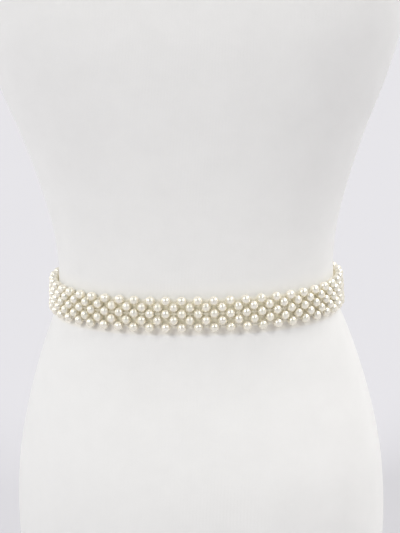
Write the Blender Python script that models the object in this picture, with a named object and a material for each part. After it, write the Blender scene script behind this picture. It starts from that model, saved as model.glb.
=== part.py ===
"""A pearl belt on a dress form: five staggered rows of pearls, strung as an elastic net.

Metres, +Z up. The form stands on its flat base at z = 0. The side that faces -Y is the form's back.
"""

import math

import bmesh
import bpy
import numpy as np
from mathutils import Vector

# Driving sizes of the belt. The net flares less than the form, so it leans out from its lower edge,
# and its middle column stands a part of a pitch to +X of the middle of the back.
PEARL_DIAMETER = 0.0080
PEARL_COLUMNS = 53
ROW_SPACING = 0.0056
LAST_ROW_SPACING = 0.0062
PEARL_ROWS = 5
MIDDLE_COLUMN_SHIFT = 0.30
BELT_HEIGHT = 0.2827
NECK_HALF_WIDTH = 0.0013
CLEARANCE = 0.0004
LEAN = 0.020
SEAM_GAP = 0.0003

# A pearl's four neighbours lie on its diagonals, as (along the ring, up), anticlockwise.
DIAGONALS = ((1, 1), (-1, 1), (-1, -1), (1, -1))
CELL_SIDES = 8
DOME_ANGLE = math.radians(45)
SAME_POINT = 1e-7

# Driving sizes of the form
AROUND = 48
WIDEST_LINE_Y = 0.00067
SHARP_ANGLE = math.radians(50)

# How far apart two points of the form's surface are read to find its slope there
SLOPE_TURN = 0.002
SLOPE_RISE = 0.0005

# The form's sections: height above the base, half width, depth behind and in front of the widest
# line, how far that line is set towards the back, the squareness of the back and of the front (2 is
# an ellipse), and how many rings the loft has up to the next section.
SECTION_COLUMNS = (
    "height",
    "half_width",
    "back",
    "front",
    "set_back",
    "back_square",
    "front_square",
    "rings",
)
SECTIONS = (
    (0.0000, 0.1560, 0.1220, 0.1000, 0.0000, 2.20, 2.20, 1),
    (0.0040, 0.1595, 0.1255, 0.1030, 0.0000, 2.20, 2.20, 1),
    (0.0480, 0.1645, 0.1345, 0.1080, 0.0000, 2.20, 2.20, 1),
    (0.0900, 0.1655, 0.1385, 0.1110, 0.0000, 2.20, 2.20, 1),
    (0.1300, 0.1629, 0.1360, 0.1115, 0.0000, 2.20, 2.20, 1),
    (0.1750, 0.1546, 0.1260, 0.1090, 0.0000, 2.20, 2.20, 1),
    (0.2150, 0.1436, 0.1128, 0.1057, 0.0020, 2.22, 2.15, 1),
    (0.2500, 0.1316, 0.1018, 0.1012, 0.0060, 2.25, 2.05, 1),
    (0.2610, 0.1272, 0.0992, 0.0995, 0.0072, 2.25, 2.05, 2),
    (0.2700, 0.1233, 0.0966, 0.0978, 0.0080, 2.25, 2.00, 2),
    (0.2830, 0.1222, 0.0950, 0.0952, 0.0080, 2.25, 2.00, 1),
    (0.2960, 0.1212, 0.0940, 0.0940, 0.0080, 2.25, 2.00, 1),
    (0.3080, 0.1211, 0.0936, 0.0937, 0.0080, 2.25, 2.00, 1),
    (0.3350, 0.1240, 0.0958, 0.0932, 0.0060, 2.22, 2.05, 1),
    (0.3750, 0.1340, 0.1008, 0.0992, 0.0030, 2.20, 2.15, 1),
    (0.4200, 0.1492, 0.1076, 0.1132, 0.0010, 2.20, 2.20, 2),
    (0.4700, 0.1690, 0.1155, 0.1350, 0.0000, 2.20, 2.20, 2),
    (0.5200, 0.1835, 0.1190, 0.1340, 0.0000, 2.25, 2.25, 2),
    (0.5700, 0.1885, 0.1150, 0.1150, 0.0000, 2.30, 2.30, 2),
    (0.6150, 0.1850, 0.1025, 0.0920, 0.0000, 2.30, 2.30, 2),
    (0.6450, 0.1720, 0.0900, 0.0750, 0.0000, 2.25, 2.25, 2),
    (0.6700, 0.1420, 0.0800, 0.0650, 0.0000, 2.15, 2.15, 1),
    (0.6900, 0.1050, 0.0720, 0.0590, 0.0000, 2.05, 2.05, 1),
    (0.7100, 0.0740, 0.0640, 0.0540, 0.0000, 2.00, 2.00, 2),
    (0.7350, 0.0600, 0.0590, 0.0530, 0.0000, 2.00, 2.00, 1),
    (0.7660, 0.0575, 0.0570, 0.0540, 0.0000, 2.00, 2.00, 1),
    (0.7700, 0.0545, 0.0540, 0.0510, 0.0000, 2.00, 2.00, 0),
)


def clear_scene():
    for thing in list(bpy.data.objects):
        bpy.data.objects.remove(thing, do_unlink=True)


def material(name, colour, roughness):
    made = bpy.data.materials.new(name)
    made.use_nodes = True
    shader = made.node_tree.nodes["Principled BSDF"]
    shader.inputs["Base Color"].default_value = (*colour, 1.0)
    shader.inputs["Roughness"].default_value = roughness
    shader.inputs["Metallic"].default_value = 0.0
    return made


def column(name):
    place = SECTION_COLUMNS.index(name)
    return np.array([row[place] for row in SECTIONS], dtype=float)


def smooth_value(name, height):
    """A section column read at any height, with a cubic curve through the table's rows."""
    heights = column("height")
    values = column(name)
    slopes = np.gradient(values, heights)
    after = int(np.clip(np.searchsorted(heights, height), 1, len(heights) - 1))
    low, high = heights[after - 1], heights[after]
    step = high - low
    t = (height - low) / step
    return float(
        (2 * t**3 - 3 * t**2 + 1) * values[after - 1]
        + (t**3 - 2 * t**2 + t) * step * slopes[after - 1]
        + (3 * t**2 - 2 * t**3) * values[after]
        + (t**3 - t**2) * step * slopes[after]
    )


def form_point(angle, height):
    """The form's surface. Angle 0 is the middle of the back, a quarter turn is its +X side."""
    across = abs(math.sin(angle)) / smooth_value("half_width", height)
    side = "back" if math.cos(angle) > 0 else "front"
    along = abs(math.cos(angle)) / smooth_value(side, height)
    squareness = smooth_value(side + "_square", height)
    radius = (across**squareness + along**squareness) ** (-1 / squareness)
    widest_line = WIDEST_LINE_Y - smooth_value("set_back", height)
    return Vector(
        (radius * math.sin(angle), widest_line - radius * math.cos(angle), height)
    )


def form_normal(angle, height):
    before, after = angle - SLOPE_TURN, angle + SLOPE_TURN
    below, above = height - SLOPE_RISE, height + SLOPE_RISE
    around = form_point(after, height) - form_point(before, height)
    upward = form_point(angle, above) - form_point(angle, below)
    return around.cross(upward).normalized()


def off_form(angle, height, outward):
    return form_point(angle, height) + form_normal(angle, height) * outward


def ring_heights():
    heights = []
    for now, after in zip(SECTIONS[:-1], SECTIONS[1:]):
        rings = now[SECTION_COLUMNS.index("rings")]
        heights += [now[0] + (after[0] - now[0]) * i / rings for i in range(rings)]
    return heights + [SECTIONS[-1][0]]


def object_of(bm, name, made, collection):
    bmesh.ops.recalc_face_normals(bm, faces=bm.faces)
    mesh = bpy.data.meshes.new(name)
    bm.to_mesh(mesh)
    bm.free()
    mesh.materials.append(made)
    mesh.shade_smooth()
    mesh.set_sharp_from_angle(angle=SHARP_ANGLE)
    thing = bpy.data.objects.new(name, mesh)
    collection.objects.link(thing)
    return thing


def dress_form(made, collection):
    """A loft through the form's sections, closed by a flat base and a flat neck cap."""
    bm = bmesh.new()
    rings = [
        [
            bm.verts.new(form_point(2 * math.pi * i / AROUND, height))
            for i in range(AROUND)
        ]
        for height in ring_heights()
    ]
    for lower, upper in zip(rings[:-1], rings[1:]):
        for i in range(AROUND):
            j = (i + 1) % AROUND
            bm.faces.new((lower[i], lower[j], upper[j], upper[i]))
    bm.faces.new(reversed(rings[0]))
    bm.faces.new(rings[-1])
    return object_of(bm, "dress_form", made, collection)


def row_drop(row):
    """How far a row's pearls lie below the middle row; row 0 is the top one."""
    drop = (row - PEARL_ROWS // 2) * ROW_SPACING
    if row == PEARL_ROWS - 1:
        drop += LAST_ROW_SPACING - ROW_SPACING
    return drop


def stand_off(height):
    """How far the net's plain inside stands off the form."""
    lower_edge = BELT_HEIGHT - row_drop(PEARL_ROWS - 1) - PEARL_DIAMETER / 2
    return CLEARANCE + LEAN * (height - lower_edge)


class BeltRing:
    """Turns a length along the ring of pearl centres into an angle round the form."""

    SAMPLES = 1440

    def __init__(self):
        outward = stand_off(BELT_HEIGHT) + PEARL_DIAMETER / 2
        self.angles = np.linspace(0, 2 * math.pi, self.SAMPLES + 1)
        points = np.array([off_form(a, BELT_HEIGHT, outward) for a in self.angles])
        steps = np.linalg.norm(np.diff(points, axis=0), axis=1)
        self.lengths = np.concatenate([[0.0], np.cumsum(steps)])
        self.girth = float(self.lengths[-1])
        self.pitch = self.girth / PEARL_COLUMNS

    def angle(self, length):
        turns = math.floor(length / self.girth)
        inside = length - turns * self.girth
        return turns * 2 * math.pi + float(np.interp(inside, self.lengths, self.angles))


def pearls_of(first_column, last_column):
    """The pearls between two columns as (row, half columns): every second row is set over by
    half a pitch, so places along the ring are counted in half columns."""
    return [
        (row, 2 * place + row % 2)
        for row in range(PEARL_ROWS)
        for place in range(first_column, last_column)
    ]


def pearl_place(pearl, ring):
    """A pearl's centre on the net, as a length along the ring and a height off the middle row."""
    row, half_columns = pearl
    columns = half_columns / 2 + MIDDLE_COLUMN_SHIFT
    return Vector((columns * ring.pitch, -row_drop(row)))


def neighbour(pearl, diagonal):
    row, half_columns = pearl
    side, rise = diagonal
    return row - rise, half_columns + side


def neck_corners(centre, other, pulled_back):
    """The two ends of the neck between a pearl and its neighbour, anticlockwise."""
    along = (other - centre).normalized()
    middle = (centre + other) / 2 - along * pulled_back
    across = Vector((-along.y, along.x)) * NECK_HALF_WIDTH
    return [middle - across, middle + across]


def free_corners(centre, diagonal):
    """Two corners of a regular octagon round the pearl, where the net has its edge."""
    side, rise = diagonal
    radius = PEARL_DIAMETER / 2
    near = radius * math.tan(math.pi / CELL_SIDES)
    flat = centre + Vector((side * radius, rise * near))
    tall = centre + Vector((side * near, rise * radius))
    return [flat, tall] if side == rise else [tall, flat]


def cell_corners(pearl, piece, ring):
    """The eight corners of a pearl's cell. A neighbour in the same piece shares its neck's corners,
    and from one in the other piece they are pulled back by half of the seam's gap."""
    corners = []
    for diagonal in DIAGONALS:
        other = neighbour(pearl, diagonal)
        if not 0 <= other[0] < PEARL_ROWS:
            corners += free_corners(pearl_place(pearl, ring), diagonal)
            continue
        pulled_back = 0.0 if other in piece else SEAM_GAP / 2
        corners += neck_corners(
            pearl_place(pearl, ring), pearl_place(other, ring), pulled_back
        )
    return corners


def dome_corners(centre):
    """The ring half way up a pearl's dome."""
    radius = PEARL_DIAMETER / 2 * math.cos(DOME_ANGLE)
    turns = [(i + 0.5) * 2 * math.pi / CELL_SIDES for i in range(CELL_SIDES)]
    return [
        centre + Vector((radius * math.cos(turn), radius * math.sin(turn)))
        for turn in turns
    ]


def pearl_net(name, first_column, last_column, ring, made, collection):
    """A strung wall with a plain inside. Each pearl is a dome over its own cell of the wall, cells
    meet at narrow necks where the thread runs, and the spaces between them go right through."""
    bm = bmesh.new()
    piece = set(pearls_of(first_column, last_column))
    radius = PEARL_DIAMETER / 2
    known = {}

    def points(places, outward):
        corners = []
        for place in places:
            key = tuple(round(v / SAME_POINT) for v in (place.x, place.y, outward))
            if key not in known:
                height = BELT_HEIGHT + place.y
                off = stand_off(height) + outward
                known[key] = bm.verts.new(off_form(ring.angle(place.x), height, off))
            corners.append(known[key])
        return corners

    for pearl in sorted(piece):
        centre = pearl_place(pearl, ring)
        corners = cell_corners(pearl, piece, ring)
        inside = points(corners, 0.0)
        equator = points(corners, radius)
        dome = points(dome_corners(centre), radius * (1 + math.sin(DOME_ANGLE)))
        top = points([centre], PEARL_DIAMETER)
        bm.faces.new(reversed(inside))
        for i in range(CELL_SIDES):
            j = (i + 1) % CELL_SIDES
            at_neck = i % 2 == 0 and neighbour(pearl, DIAGONALS[i // 2]) in piece
            if not at_neck:
                bm.faces.new((inside[i], inside[j], equator[j], equator[i]))
            bm.faces.new((equator[i], equator[j], dome[j], dome[i]))
            bm.faces.new((dome[i], dome[j], top[0]))
    return object_of(bm, name, made, collection)


def main():
    clear_scene()
    collection = bpy.data.collections.new("pearl_belt_on_dress_form")
    bpy.context.scene.collection.children.link(collection)
    jersey = material("off_white_jersey", (0.80, 0.80, 0.80), 0.9)
    pearl = material("ivory_pearl", (0.86, 0.81, 0.70), 0.22)
    ring = BeltRing()
    left_seam = -(PEARL_COLUMNS // 4)
    right_seam = left_seam + PEARL_COLUMNS // 2
    dress_form(jersey, collection)
    pearl_net("pearl_net_back", left_seam, right_seam, ring, pearl, collection)
    pearl_net(
        "pearl_net_front",
        right_seam,
        left_seam + PEARL_COLUMNS,
        ring,
        pearl,
        collection,
    )


main()
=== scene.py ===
"""The finished look of a pearl belt on a dress form: strung pearls, their elastic thread and the
form's jersey cover, with a pale floor, soft light and the photograph's camera.

Metres, +Z up. The form's back faces -Y, as the camera sees it.
"""

import math

import bpy
import numpy as np
from mathutils import Matrix, Vector

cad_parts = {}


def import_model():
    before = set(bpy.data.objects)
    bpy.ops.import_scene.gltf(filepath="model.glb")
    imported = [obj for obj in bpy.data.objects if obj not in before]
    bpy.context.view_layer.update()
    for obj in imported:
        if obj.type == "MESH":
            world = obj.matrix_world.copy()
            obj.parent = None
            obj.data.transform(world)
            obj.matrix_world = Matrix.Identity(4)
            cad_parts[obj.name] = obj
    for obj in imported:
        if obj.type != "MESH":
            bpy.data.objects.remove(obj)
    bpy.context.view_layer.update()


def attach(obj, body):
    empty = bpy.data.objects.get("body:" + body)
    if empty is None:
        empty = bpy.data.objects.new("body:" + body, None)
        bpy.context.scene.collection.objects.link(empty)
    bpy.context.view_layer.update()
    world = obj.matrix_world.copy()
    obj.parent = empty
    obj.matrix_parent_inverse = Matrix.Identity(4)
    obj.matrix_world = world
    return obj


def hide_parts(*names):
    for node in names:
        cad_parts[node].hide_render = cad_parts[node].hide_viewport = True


# Sizes of the belt, the same as in the part's source
PEARL_DIAMETER = 0.0080
PEARL_COLUMNS = 53
ROW_SPACING = 0.0056
LAST_ROW_SPACING = 0.0062
PEARL_ROWS = 5
MIDDLE_COLUMN_SHIFT = 0.30
BELT_HEIGHT = 0.2827
CLEARANCE = 0.0004
LEAN = 0.020
BELT_SAMPLES = 1440

# Finer sizes of the pearls: the drilled hole, whose end is a little narrower than its mouth, and
# the number of faces around and along
HOLE_RADIUS = 0.00045
HOLE_DEPTH = 0.0006
HOLE_TAPER = 0.8
PEARL_TURNS = 28
PEARL_RINGS = 15

# How uneven the pearls are: the share that they may be smaller by, and the usual error of their
# places and of their axes
SIZE_SPREAD = 0.015
PLACE_SPREAD = 0.0001
TILT_SPREAD = 0.10
SEED = 7

# The elastic thread. Each link keeps its hole's direction for a share of the way between its two
# holes, and its faces are counted from a side direction that no link runs along.
THREAD_RADIUS = 0.00035
THREAD_SIDES = 6
THREAD_STEPS = 7
THREAD_IN_HOLE = 0.0005
THREAD_REACH = 0.45
THREAD_SIDE = (0.3, 0.2, 1.0)

# The belt's two materials in the order that its pieces hold them. The tint tells pearls apart, and
# all of the thread has the same one.
PEARL_MATERIAL, THREAD_MATERIAL = 0, 1
THREAD_TINT = 0.5

# Sizes of the form, the same as in the part's source
WIDEST_LINE_Y = 0.00067
SLOPE_TURN = 0.002
SLOPE_RISE = 0.0005
SECTION_COLUMNS = (
    "height",
    "half_width",
    "back",
    "front",
    "set_back",
    "back_square",
    "front_square",
)
SECTIONS = (
    (0.0000, 0.1560, 0.1220, 0.1000, 0.0000, 2.20, 2.20),
    (0.0040, 0.1595, 0.1255, 0.1030, 0.0000, 2.20, 2.20),
    (0.0480, 0.1645, 0.1345, 0.1080, 0.0000, 2.20, 2.20),
    (0.0900, 0.1655, 0.1385, 0.1110, 0.0000, 2.20, 2.20),
    (0.1300, 0.1629, 0.1360, 0.1115, 0.0000, 2.20, 2.20),
    (0.1750, 0.1546, 0.1260, 0.1090, 0.0000, 2.20, 2.20),
    (0.2150, 0.1436, 0.1128, 0.1057, 0.0020, 2.22, 2.15),
    (0.2500, 0.1316, 0.1018, 0.1012, 0.0060, 2.25, 2.05),
    (0.2610, 0.1272, 0.0992, 0.0995, 0.0072, 2.25, 2.05),
    (0.2700, 0.1233, 0.0966, 0.0978, 0.0080, 2.25, 2.00),
    (0.2830, 0.1222, 0.0950, 0.0952, 0.0080, 2.25, 2.00),
    (0.2960, 0.1212, 0.0940, 0.0940, 0.0080, 2.25, 2.00),
    (0.3080, 0.1211, 0.0936, 0.0937, 0.0080, 2.25, 2.00),
    (0.3350, 0.1240, 0.0958, 0.0932, 0.0060, 2.22, 2.05),
    (0.3750, 0.1340, 0.1008, 0.0992, 0.0030, 2.20, 2.15),
    (0.4200, 0.1492, 0.1076, 0.1132, 0.0010, 2.20, 2.20),
    (0.4700, 0.1690, 0.1155, 0.1350, 0.0000, 2.20, 2.20),
    (0.5200, 0.1835, 0.1190, 0.1340, 0.0000, 2.25, 2.25),
    (0.5700, 0.1885, 0.1150, 0.1150, 0.0000, 2.30, 2.30),
    (0.6150, 0.1850, 0.1025, 0.0920, 0.0000, 2.30, 2.30),
    (0.6450, 0.1720, 0.0900, 0.0750, 0.0000, 2.25, 2.25),
    (0.6700, 0.1420, 0.0800, 0.0650, 0.0000, 2.15, 2.15),
    (0.6900, 0.1050, 0.0720, 0.0590, 0.0000, 2.05, 2.05),
    (0.7100, 0.0740, 0.0640, 0.0540, 0.0000, 2.00, 2.00),
    (0.7350, 0.0600, 0.0590, 0.0530, 0.0000, 2.00, 2.00),
    (0.7660, 0.0575, 0.0570, 0.0540, 0.0000, 2.00, 2.00),
    (0.7700, 0.0545, 0.0540, 0.0510, 0.0000, 2.00, 2.00),
)

# The cover's faces: how many there are around, how far apart its rings are, the closer rings at the
# rounded edges of the base and the neck, and the angle from which an edge looks sharp
FORM_TURNS = 192
FORM_RING_STEP = 0.005
BASE_EDGE_HEIGHTS = (0.0, 0.0006, 0.0022)
NECK_EDGE_HEIGHTS = (0.7678, 0.7694, 0.7700)
SHARP_ANGLE = math.radians(50)

# The jersey's colours, and the share of its knit and of its fuzz in them. The two wave scales give
# wales 1.2 mm wide and courses 0.9 mm high.
JERSEY_LOW = (0.715, 0.709, 0.697)
JERSEY_HIGH = (0.788, 0.782, 0.768)
KNIT_LOW = (0.74, 0.74, 0.73)
KNIT_HIGH = (0.93, 0.93, 0.92)
KNIT_SHARE = 0.10
FUZZ_LOW = (0.60, 0.60, 0.60)
FUZZ_HIGH = (0.95, 0.95, 0.95)
FUZZ_SHARE = 0.06
WALES_SCALE = 262.0
COURSES_SCALE = 349.0

# The jersey's colour near the belt is painted light and shade. It stands in for the light that
# pearls pass on to it
# and the shade they throw: a little painted shade below the lowest row, a pale, warm painted glow
# behind the pearls, and a plain painted band just above the highest row, up to where the jersey is
# itself again. Each change has its start and its end as heights off the middle of that row's
# pearls.
PAINTED_SHADE_COLOUR = (0.785, 0.75, 0.69)
PAINTED_SHADE_FADE = (-0.0085, -0.0045)
PAINTED_GLOW_COLOUR = (1.0, 0.95, 0.79)
PAINTED_GLOW_FADE = (0.0005, 0.0045)
PAINTED_BAND_COLOUR = (0.775, 0.768, 0.748)
PAINTED_BAND_FADE = (-0.004, 0.0025)
PAINTED_BAND_END_FADE = (0.006, 0.017)

# The pearls' colours: two bodies and two clouded ones, between which each pearl has its own place,
# and a paler painted sheen at their rims that lightens them as light would, with how far it reaches
# in
BODY_COOL = (0.782, 0.757, 0.664)
BODY_WARM = (0.814, 0.773, 0.708)
CLOUD_COOL = (0.770, 0.736, 0.644)
CLOUD_WARM = (0.788, 0.753, 0.682)
PAINTED_RIM_SHEEN = (1.0, 0.95, 0.80)
PAINTED_RIM_SHEEN_BLEND = 0.72

# The thread's two colours along its twist, and the floor's two, which are nearly the same
THREAD_LOW = (0.68, 0.63, 0.51)
THREAD_HIGH = (0.75, 0.705, 0.595)
FLOOR_LOW = (0.560, 0.555, 0.582)
FLOOR_HIGH = (0.570, 0.566, 0.592)

# The camera, fitted to the belt and the form's outline in the photograph
PHOTO_HEIGHT_PX = 533
FOCAL_PX = 2023.6
SENSOR_MM = 36.0
CAMERA_DISTANCE = 1.8
CAMERA_ELEVATION = math.radians(12.99)
CAMERA_YAW = math.radians(1.79)
CAMERA_ROLL = math.radians(-1.21)
AIM_HEIGHT = 0.2994
AIM_RIGHT = 0.0033

# A floor that reaches to the horizon, and how far the camera sees
FLOOR_SIZE = 160.0
VIEW_END = 300.0

# Four wide lights from far away. Their angles are in degrees, and azimuth 0 is the camera's side.
SUN_COLUMNS = ("name", "azimuth", "elevation", "strength", "angle", "colour")
SUNS = (
    ("key_left", -44, 35, 1.15, 16, (1.0, 1.0, 1.0)),
    ("fill_right", 48, 40, 0.67, 16, (1.0, 0.99, 0.97)),
    ("rim_right", 110, 50, 1.40, 40, (1.0, 0.985, 0.965)),
    ("rim_left", -110, 20, 0.50, 40, (1.0, 1.0, 1.0)),
)

# A pale reflector that lies low between the camera and the form, below the camera's view
REFLECTOR_SIZE = (1.8, 0.9)
REFLECTOR_SPOT = (0.0, -0.85, 0.03)
REFLECTOR_TILT = math.radians(35)
REFLECTOR_POWER = 1.1
REFLECTOR_COLOUR = (1.0, 0.985, 0.95)

# The room is pale all round, with a dimmer strip behind the camera and a dimmer band at the horizon
# on the camera's side, given as the direction's X, Z and Y where each fades out
ROOM_BRIGHT = (0.71, 0.71, 0.71)
ROOM_DARK = (0.30, 0.30, 0.295)
DARK_STRIP = (0.15, 0.42)
DARK_BAND = (0.05, 0.20)
DARK_SIDE = (-0.6, -0.3)


def column(name):
    place = SECTION_COLUMNS.index(name)
    return np.array([row[place] for row in SECTIONS], dtype=float)


def smooth_values(name, heights):
    """A section column read at many heights, with a cubic curve through the table's rows."""
    known = column("height")
    values = column(name)
    slopes = np.gradient(values, known)
    after = np.clip(np.searchsorted(known, heights), 1, len(known) - 1)
    low = known[after - 1]
    step = known[after] - low
    t = (heights - low) / step
    return (
        (2 * t**3 - 3 * t**2 + 1) * values[after - 1]
        + (t**3 - 2 * t**2 + t) * step * slopes[after - 1]
        + (3 * t**2 - 2 * t**3) * values[after]
        + (t**3 - t**2) * step * slopes[after]
    )


def form_points(angles, heights):
    """The form's surface. Angle 0 is the middle of the back, a quarter turn is its +X side."""
    angles, heights = np.broadcast_arrays(
        np.asarray(angles, dtype=float), np.asarray(heights, dtype=float)
    )
    across = np.abs(np.sin(angles)) / smooth_values("half_width", heights)
    at_back = np.cos(angles) > 0
    depth = np.where(at_back, smooth_values("back", heights), smooth_values("front", heights))
    squareness = np.where(
        at_back, smooth_values("back_square", heights), smooth_values("front_square", heights)
    )
    along = np.abs(np.cos(angles)) / depth
    radius = (across**squareness + along**squareness) ** (-1 / squareness)
    widest_line = WIDEST_LINE_Y - smooth_values("set_back", heights)
    return np.stack(
        [radius * np.sin(angles), widest_line - radius * np.cos(angles), heights], axis=-1
    )


def unit(vectors):
    return vectors / np.linalg.norm(vectors, axis=-1, keepdims=True)


def form_normals(angles, heights):
    around = form_points(angles + SLOPE_TURN, heights) - form_points(angles - SLOPE_TURN, heights)
    upward = form_points(angles, heights + SLOPE_RISE) - form_points(angles, heights - SLOPE_RISE)
    return unit(np.cross(around, upward))


def off_form(angles, heights, outward):
    normals = form_normals(angles, heights)
    return form_points(angles, heights) + normals * np.asarray(outward)[..., None]


def row_drop(row):
    """How far a row's pearls lie below the middle row; row 0 is the top one."""
    drop = (row - PEARL_ROWS // 2) * ROW_SPACING
    if row == PEARL_ROWS - 1:
        drop += LAST_ROW_SPACING - ROW_SPACING
    return drop


def stand_off(heights):
    """How far the net's plain inside stands off the form."""
    lower_edge = BELT_HEIGHT - row_drop(PEARL_ROWS - 1) - PEARL_DIAMETER / 2
    return CLEARANCE + LEAN * (heights - lower_edge)


class BeltRing:
    """Turns a length along the ring of pearl centres into an angle round the form."""

    def __init__(self):
        outward = stand_off(BELT_HEIGHT) + PEARL_DIAMETER / 2
        self.angles = np.linspace(0, 2 * math.pi, BELT_SAMPLES + 1)
        heights = np.full_like(self.angles, BELT_HEIGHT)
        points = off_form(self.angles, heights, np.full_like(self.angles, outward))
        steps = np.linalg.norm(np.diff(points, axis=0), axis=1)
        self.lengths = np.concatenate([[0.0], np.cumsum(steps)])
        self.girth = float(self.lengths[-1])
        self.pitch = self.girth / PEARL_COLUMNS

    def angle(self, lengths):
        turns = np.floor(lengths / self.girth)
        inside = lengths - turns * self.girth
        return turns * 2 * math.pi + np.interp(inside, self.lengths, self.angles)

    def spot(self, lengths, rises):
        """Points at the middle of the net's thickness, from lengths along it and heights off its
        middle row."""
        heights = BELT_HEIGHT + rises
        return off_form(
            self.angle(lengths), heights, stand_off(heights) + PEARL_DIAMETER / 2
        )


class MeshParts:
    """Gathers many small parts as arrays and joins them into one mesh."""

    def __init__(self):
        self.points = []
        self.faces = []
        self.slots = []
        self.tints = []
        self.count = 0

    def add(self, points, faces, slot, tint):
        self.points.append(points)
        self.faces += [tuple(int(i) + self.count for i in face) for face in faces]
        self.slots += [slot] * len(faces)
        self.tints += [tint] * len(points)
        self.count += len(points)

    def object(self, name, materials):
        mesh = bpy.data.meshes.new(name)
        mesh.from_pydata(np.concatenate(self.points).tolist(), [], self.faces)
        mesh.polygons.foreach_set("material_index", self.slots)
        tint = mesh.attributes.new("tint", "FLOAT", "POINT")
        tint.data.foreach_set("value", self.tints)
        for made in materials:
            mesh.materials.append(made)
        mesh.shade_smooth()
        thing = bpy.data.objects.new(name, mesh)
        bpy.context.scene.collection.objects.link(thing)
        return thing


def lathe_faces(rings, turns):
    """Faces of a closed turned form: rings of points with one point at each end."""
    faces = []
    first, last = 0, 1 + rings * turns
    for j in range(turns):
        k = (j + 1) % turns
        faces.append((first, 1 + k, 1 + j))
        for i in range(rings - 1):
            low, high = 1 + i * turns, 1 + (i + 1) * turns
            faces.append((low + j, low + k, high + k, high + j))
        top = 1 + (rings - 1) * turns
        faces.append((top + j, top + k, last))
    return faces


def pearl_shape():
    """A pearl of radius 1 about its drilled axis, as points whose last number lies along it."""
    radius = PEARL_DIAMETER / 2
    edge = math.asin(HOLE_RADIUS / radius)
    hole_end = HOLE_RADIUS * HOLE_TAPER / radius
    sweep = np.linspace(edge, math.pi - edge, PEARL_RINGS)
    profile = [(hole_end, -1 + HOLE_DEPTH / radius)]
    profile += [(math.sin(a), -math.cos(a)) for a in sweep]
    profile += [(hole_end, 1 - HOLE_DEPTH / radius)]
    turns = np.arange(PEARL_TURNS) * 2 * math.pi / PEARL_TURNS
    points = [(0.0, 0.0, profile[0][1])]
    for reach, along in profile:
        points += [(reach * math.cos(a), reach * math.sin(a), along) for a in turns]
    points.append((0.0, 0.0, profile[-1][1]))
    return np.array(points), lathe_faces(len(profile), PEARL_TURNS)


def thread_curve(start, start_way, end, end_way):
    """A short link that leaves one hole straight and enters the next one straight."""
    reach = THREAD_REACH * np.linalg.norm(end - start)
    t = np.linspace(0, 1, THREAD_STEPS + 1)[:, None]
    return (
        (1 - t) ** 3 * start
        + 3 * (1 - t) ** 2 * t * (start + start_way * reach)
        + 3 * (1 - t) * t**2 * (end - end_way * reach)
        + t**3 * end
    )


def tube(path):
    """A closed tube along a short path."""
    ways = unit(np.gradient(path, axis=0))
    side = unit(np.cross(ways, np.array(THREAD_SIDE)))
    other = np.cross(ways, side)
    turns = np.arange(THREAD_SIDES) * 2 * math.pi / THREAD_SIDES
    rings = (
        path[:, None, :]
        + THREAD_RADIUS * np.cos(turns)[None, :, None] * side[:, None, :]
        + THREAD_RADIUS * np.sin(turns)[None, :, None] * other[:, None, :]
    )
    points = np.concatenate([path[:1], rings.reshape(-1, 3), path[-1:]])
    return points, lathe_faces(len(path), THREAD_SIDES)


def threaded_upright(row):
    """In this weave every second row is drilled up and down and the others along the ring."""
    return row % 2 == 1


def belt_half(name, first_column, last_column, ring, materials, rng):
    parts = MeshParts()
    shape, faces = pearl_shape()
    radius = PEARL_DIAMETER / 2
    for row in range(PEARL_ROWS):
        for place in range(first_column, last_column):
            along = (place + (row % 2) / 2 + MIDDLE_COLUMN_SHIFT) * ring.pitch
            rise = -row_drop(row)
            nudge = rng.normal(0, PLACE_SPREAD, 2)
            centre = ring.spot(np.array([along + nudge[0]]), np.array([rise + nudge[1]]))[0]
            angle = ring.angle(np.array([along]))
            outward = form_normals(angle, np.array([BELT_HEIGHT + rise]))[0]
            upright = np.array([0.0, 0.0, 1.0])
            sideways = unit(np.cross(upright, outward))
            upright = np.cross(outward, sideways)
            axis = upright if threaded_upright(row) else sideways
            axis = unit(axis + outward * rng.normal(0, TILT_SPREAD))
            second = unit(np.cross(axis, outward))
            third = np.cross(axis, second)
            size = radius * (1 + rng.uniform(-SIZE_SPREAD, 0.0))
            points = centre + size * (shape @ np.array([second, third, axis]))
            tint = float(rng.uniform(0, 1))
            parts.add(points, faces, PEARL_MATERIAL, tint)
    for row in range(PEARL_ROWS):
        if not threaded_upright(row):
            continue
        for place in range(first_column, last_column):
            here = 2 * place + 1
            for side in (-1, 1):
                for other_row in (row - 1, row + 1):
                    points = link_points(ring, row, here, other_row, here + side)
                    tube_points, tube_faces = tube(points)
                    parts.add(tube_points, tube_faces, THREAD_MATERIAL, THREAD_TINT)
    return parts.object(name, materials)


def link_points(ring, row, half_columns, other_row, other_half_columns):
    """One link of thread, from the upright pearl's hole to the level pearl's hole."""
    radius = PEARL_DIAMETER / 2 - THREAD_IN_HOLE
    up = 1 if other_row < row else -1
    side = 1 if other_half_columns > half_columns else -1
    here = np.array([half_columns * ring.pitch / 2, -row_drop(row)])
    there = np.array([other_half_columns * ring.pitch / 2, -row_drop(other_row)])
    start = here + np.array([0.0, up * radius])
    end = there - np.array([side * radius, 0.0])
    flat = thread_curve(start, np.array([0.0, up]), end, np.array([side, 0.0]))
    along = flat[:, 0] + MIDDLE_COLUMN_SHIFT * ring.pitch
    return ring.spot(along, flat[:, 1])


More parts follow.
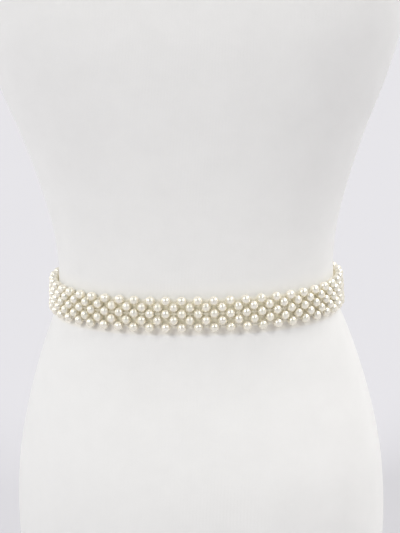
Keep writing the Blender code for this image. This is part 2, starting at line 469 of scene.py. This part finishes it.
def form_shell(name, made):
    """The form's cover: the same surface as the solid, in fine rings, with flat ends. Lengths along
    the cloth are counted from the middle of the back, and it closes at the front."""
    first, last = column("height")[1], column("height")[-2]
    steps = int(round((last - first) / FORM_RING_STEP))
    heights = [*BASE_EDGE_HEIGHTS, *np.linspace(first, last, steps + 1), *NECK_EDGE_HEIGHTS]
    turns = np.arange(FORM_TURNS) * 2 * math.pi / FORM_TURNS - math.pi
    grid_angles, grid_heights = np.meshgrid(turns, np.array(heights))
    points = form_points(grid_angles, grid_heights)
    round_lengths = np.linalg.norm(np.roll(points, -1, axis=1) - points, axis=2)
    u = np.concatenate(
        [np.zeros((len(heights), 1)), np.cumsum(round_lengths, axis=1)], axis=1
    )
    u -= u[:, -1:] / 2
    v = np.array(heights)
    faces, spots = [], []
    for i in range(len(heights) - 1):
        for j in range(FORM_TURNS):
            k = (j + 1) % FORM_TURNS
            low, high = i * FORM_TURNS, (i + 1) * FORM_TURNS
            faces.append((low + j, low + k, high + k, high + j))
            spots += [(u[i, j], v[i]), (u[i, j + 1], v[i])]
            spots += [(u[i + 1, j + 1], v[i + 1]), (u[i + 1, j], v[i + 1])]
    flat = points.reshape(-1, 3)
    base = list(reversed(range(FORM_TURNS)))
    top = (len(heights) - 1) * FORM_TURNS
    cap = [top + j for j in range(FORM_TURNS)]
    for face in (base, cap):
        faces.append(tuple(face))
        spots += [(flat[i][0], flat[i][1]) for i in face]
    mesh = bpy.data.meshes.new(name)
    mesh.from_pydata(flat.tolist(), [], faces)
    layer = mesh.uv_layers.new(name="cloth")
    layer.data.foreach_set("uv", np.array(spots, dtype=float).ravel())
    mesh.materials.append(made)
    mesh.shade_smooth()
    mesh.set_sharp_from_angle(angle=SHARP_ANGLE)
    thing = bpy.data.objects.new(name, mesh)
    bpy.context.scene.collection.objects.link(thing)
    return thing


class Nodes:
    """Short calls for building a material's nodes."""

    MIX_FACTOR, MIX_FIRST, MIX_SECOND = 0, 6, 7
    MIX_RESULT = 2

    def __init__(self, made, shader="Principled BSDF"):
        made.use_nodes = True
        self.tree = made.node_tree
        self.shader = self.tree.nodes[shader]

    def add(self, kind, inputs=None, **settings):
        node = self.tree.nodes.new(kind)
        for key, value in settings.items():
            setattr(node, key, value)
        for key, value in (inputs or {}).items():
            if isinstance(value, bpy.types.NodeSocket):
                self.tree.links.new(value, node.inputs[key])
            else:
                node.inputs[key].default_value = value
        return node

    def mix(self, factor, first, second):
        node = self.add("ShaderNodeMix", data_type="RGBA")
        places = (self.MIX_FACTOR, self.MIX_FIRST, self.MIX_SECOND)
        for place, value in zip(places, (factor, first, second)):
            if isinstance(value, bpy.types.NodeSocket):
                self.tree.links.new(value, node.inputs[place])
            elif place == self.MIX_FACTOR:
                node.inputs[place].default_value = value
            else:
                node.inputs[place].default_value = (*value, 1.0)
        return node.outputs[self.MIX_RESULT]

    def calculate(self, operation, *values):
        node = self.add("ShaderNodeMath", dict(enumerate(values)), operation=operation)
        return node.outputs["Value"]

    def noise(self, vector, **settings):
        inputs = {"Vector": vector, **settings}
        return self.add("ShaderNodeTexNoise", inputs).outputs["Fac"]

    def waves(self, vector, direction, **settings):
        inputs = {"Vector": vector, **settings}
        node = self.add(
            "ShaderNodeTexWave", inputs, wave_type="BANDS", bands_direction=direction
        )
        return node.outputs["Fac"]

    def bump(self, height, strength, distance):
        inputs = {"Height": height, "Strength": strength, "Distance": distance}
        self.link(self.add("ShaderNodeBump", inputs).outputs["Normal"], "Normal")

    def smooth(self, value, start, end):
        """A smooth step from 0 at start to 1 at end."""
        limits = {"Value": value, "From Min": min(start, end), "From Max": max(start, end)}
        limits |= {"To Min": float(start > end), "To Max": float(end > start)}
        node = self.add("ShaderNodeMapRange", limits, interpolation_type="SMOOTHSTEP")
        return node.outputs["Result"]

    def set(self, **values):
        for key, value in values.items():
            self.shader.inputs[key.replace("_", " ")].default_value = value

    def link(self, socket, name):
        self.tree.links.new(socket, self.shader.inputs[name])


def jersey_material():
    """Off-white fine jersey: faint wales and courses, a little mottle and a soft sheen, with
    painted light and shade near the belt.
    """
    made = bpy.data.materials.new("off_white_jersey")
    nodes = Nodes(made)
    cloth = nodes.add("ShaderNodeUVMap", uv_map="cloth").outputs["UV"]
    wales = nodes.waves(cloth, "X", Scale=WALES_SCALE, Distortion=1.2, Detail=1.0)
    courses = nodes.waves(cloth, "Y", Scale=COURSES_SCALE, Distortion=1.5, Detail=1.0)
    mottle = nodes.noise(cloth, Scale=30.0, Detail=6.0, Roughness=0.65)
    fuzz = nodes.noise(cloth, Scale=900.0, Detail=2.0, Roughness=0.6)
    knit = nodes.calculate("MULTIPLY", wales, courses)
    colour = nodes.mix(mottle, JERSEY_LOW, JERSEY_HIGH)
    colour = nodes.mix(KNIT_SHARE, colour, nodes.mix(knit, KNIT_LOW, KNIT_HIGH))
    colour = nodes.mix(FUZZ_SHARE, colour, nodes.mix(fuzz, FUZZ_LOW, FUZZ_HIGH))
    nodes.link(painted_belt_light(nodes, colour), "Base Color")
    nodes.bump(nodes.calculate("ADD", knit, fuzz), strength=0.35, distance=0.00025)
    nodes.set(Roughness=0.88, Sheen_Weight=0.12, Sheen_Roughness=0.5, Specular_IOR_Level=0.25)
    return made


def painted_belt_light(nodes, colour):
    """The jersey's colour with painted shade and painted light near the belt, from the height above
    the base.
    """
    place = nodes.add("ShaderNodeTexCoord").outputs["Object"]
    height = nodes.add("ShaderNodeSeparateXYZ", {0: place}).outputs["Z"]
    lowest = BELT_HEIGHT - row_drop(PEARL_ROWS - 1)
    highest = BELT_HEIGHT - row_drop(0)

    def fade(row_height, limits):
        return nodes.smooth(height, row_height + limits[0], row_height + limits[1])

    # Painted shade below the lowest row, a painted warm glow behind the pearls and a plain painted
    # band above the highest row
    shaded = nodes.mix(fade(lowest, PAINTED_SHADE_FADE), colour, PAINTED_SHADE_COLOUR)
    under = nodes.mix(fade(lowest, PAINTED_GLOW_FADE), shaded, PAINTED_GLOW_COLOUR)
    over = nodes.mix(fade(highest, PAINTED_BAND_END_FADE), PAINTED_BAND_COLOUR, colour)
    return nodes.mix(fade(highest, PAINTED_BAND_FADE), under, over)


def pearl_material():
    """Ivory faux pearl: a lustrous lacquer over a warm body, each one a little different, with a
    painted pale sheen at its rims.
    """
    made = bpy.data.materials.new("ivory_pearl")
    nodes = Nodes(made)
    tint = nodes.add("ShaderNodeAttribute", attribute_name="tint").outputs["Fac"]
    place = nodes.add("ShaderNodeTexCoord").outputs["Object"]
    cloud = nodes.noise(place, Scale=350.0, Detail=2.0)
    body = nodes.mix(tint, BODY_COOL, BODY_WARM)
    body = nodes.mix(cloud, body, nodes.mix(tint, CLOUD_COOL, CLOUD_WARM))
    # Painted sheen: where the surface turns away from the view the pearl is given a paler, warmer
    # colour
    rim = nodes.add("ShaderNodeLayerWeight", {"Blend": PAINTED_RIM_SHEEN_BLEND}).outputs["Facing"]
    nodes.link(nodes.mix(rim, body, PAINTED_RIM_SHEEN), "Base Color")
    grain = nodes.noise(place, Scale=420.0, Detail=1.0)
    nodes.bump(grain, strength=0.15, distance=0.0001)
    nodes.set(Metallic=0.60, Roughness=0.12, Coat_Weight=0.3, Coat_Roughness=0.05)
    return made


def thread_material():
    """Pale elastic thread with a faint twist."""
    made = bpy.data.materials.new("elastic_thread")
    nodes = Nodes(made)
    place = nodes.add("ShaderNodeTexCoord").outputs["Object"]
    twist = nodes.waves(place, "DIAGONAL", Scale=900.0, Distortion=2.0)
    nodes.link(nodes.mix(twist, THREAD_LOW, THREAD_HIGH), "Base Color")
    nodes.set(Roughness=0.45)
    return made


def floor_material():
    """A pale matt floor with a hint of cloud."""
    made = bpy.data.materials.new("pale_floor")
    nodes = Nodes(made)
    place = nodes.add("ShaderNodeTexCoord").outputs["Object"]
    cloud = nodes.noise(place, Scale=0.4, Detail=1.0)
    nodes.link(nodes.mix(cloud, FLOOR_LOW, FLOOR_HIGH), "Base Color")
    nodes.set(Roughness=0.9, Specular_IOR_Level=0.1)
    return made


def add_floor():
    mesh = bpy.data.meshes.new("floor")
    half = FLOOR_SIZE / 2
    corners = [(-half, -half, 0), (half, -half, 0), (half, half, 0), (-half, half, 0)]
    mesh.from_pydata(corners, [], [(0, 1, 2, 3)])
    mesh.materials.append(floor_material())
    floor = bpy.data.objects.new("floor", mesh)
    bpy.context.scene.collection.objects.link(floor)


def add_suns():
    for row in SUNS:
        sun = dict(zip(SUN_COLUMNS, row))
        azimuth = math.radians(sun["azimuth"])
        elevation = math.radians(sun["elevation"])
        towards = Vector((
            math.sin(azimuth) * math.cos(elevation),
            -math.cos(azimuth) * math.cos(elevation),
            math.sin(elevation),
        ))
        lamp = bpy.data.lights.new(sun["name"], "SUN")
        lamp.energy = sun["strength"]
        lamp.angle = math.radians(sun["angle"])
        lamp.color = sun["colour"]
        thing = bpy.data.objects.new(sun["name"], lamp)
        thing.rotation_euler = towards.to_track_quat("Z", "Y").to_euler()
        bpy.context.scene.collection.objects.link(thing)


def add_reflector():
    panel = bpy.data.lights.new("low_reflector", "AREA")
    panel.shape = "RECTANGLE"
    panel.size, panel.size_y = REFLECTOR_SIZE
    panel.energy = REFLECTOR_POWER
    panel.color = REFLECTOR_COLOUR
    thing = bpy.data.objects.new("low_reflector", panel)
    thing.location = REFLECTOR_SPOT
    thing.rotation_euler = (math.pi - REFLECTOR_TILT, 0.0, 0.0)
    thing.visible_camera = False
    bpy.context.scene.collection.objects.link(thing)


def add_room():
    world = bpy.data.worlds.new("studio")
    world.use_nodes = True
    nodes = Nodes(world, "Background")
    way = nodes.add("ShaderNodeTexCoord").outputs["Generated"]
    split = nodes.add("ShaderNodeSeparateXYZ", {0: way})
    aside = nodes.calculate("ABSOLUTE", split.outputs["X"])
    off_strip = nodes.smooth(aside, *DARK_STRIP)
    off_band = nodes.smooth(split.outputs["Z"], *DARK_BAND)
    far_side = nodes.smooth(split.outputs["Y"], *DARK_SIDE)
    pale = nodes.calculate("MULTIPLY", off_strip, off_band)
    pale = nodes.calculate("MAXIMUM", pale, far_side)
    nodes.link(nodes.mix(pale, ROOM_DARK, ROOM_BRIGHT), "Color")
    bpy.context.scene.world = world
    bpy.context.scene.view_settings.view_transform = "Standard"


def add_camera():
    backward = Vector((
        math.sin(CAMERA_YAW) * math.cos(CAMERA_ELEVATION),
        -math.cos(CAMERA_YAW) * math.cos(CAMERA_ELEVATION),
        math.sin(CAMERA_ELEVATION),
    ))
    level = (-backward).cross(Vector((0, 0, 1))).normalized()
    upward = level.cross(-backward)
    turn, tip = math.cos(CAMERA_ROLL), math.sin(CAMERA_ROLL)
    right = level * turn + upward * tip
    top = upward * turn - level * tip
    spot = Vector((0, 0, AIM_HEIGHT)) + level * AIM_RIGHT + backward * CAMERA_DISTANCE
    lens = bpy.data.cameras.new("camera")
    lens.sensor_width = SENSOR_MM
    lens.lens = FOCAL_PX * SENSOR_MM / PHOTO_HEIGHT_PX
    lens.clip_end = VIEW_END
    camera = bpy.data.objects.new("camera", lens)
    camera.matrix_world = Matrix((
        (right.x, top.x, backward.x, spot.x),
        (right.y, top.y, backward.y, spot.y),
        (right.z, top.z, backward.z, spot.z),
        (0, 0, 0, 1),
    ))
    bpy.context.scene.collection.objects.link(camera)
    bpy.context.scene.camera = camera


def main():
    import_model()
    add_camera()
    rng = np.random.default_rng(SEED)
    ring = BeltRing()
    shell = form_shell("form_cover_shell", jersey_material())
    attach(shell, "root")
    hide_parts("dress_form")
    materials = [pearl_material(), thread_material()]
    left_seam = -(PEARL_COLUMNS // 4)
    right_seam = left_seam + PEARL_COLUMNS // 2
    halves = (
        ("belt_back", "pearl_net_back", left_seam, right_seam),
        ("belt_front", "pearl_net_front", right_seam, left_seam + PEARL_COLUMNS),
    )
    for name, node, first_column, last_column in halves:
        half = belt_half(name, first_column, last_column, ring, materials, rng)
        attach(half, "root")
        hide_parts(node)
    add_floor()
    add_suns()
    add_reflector()
    add_room()


main()
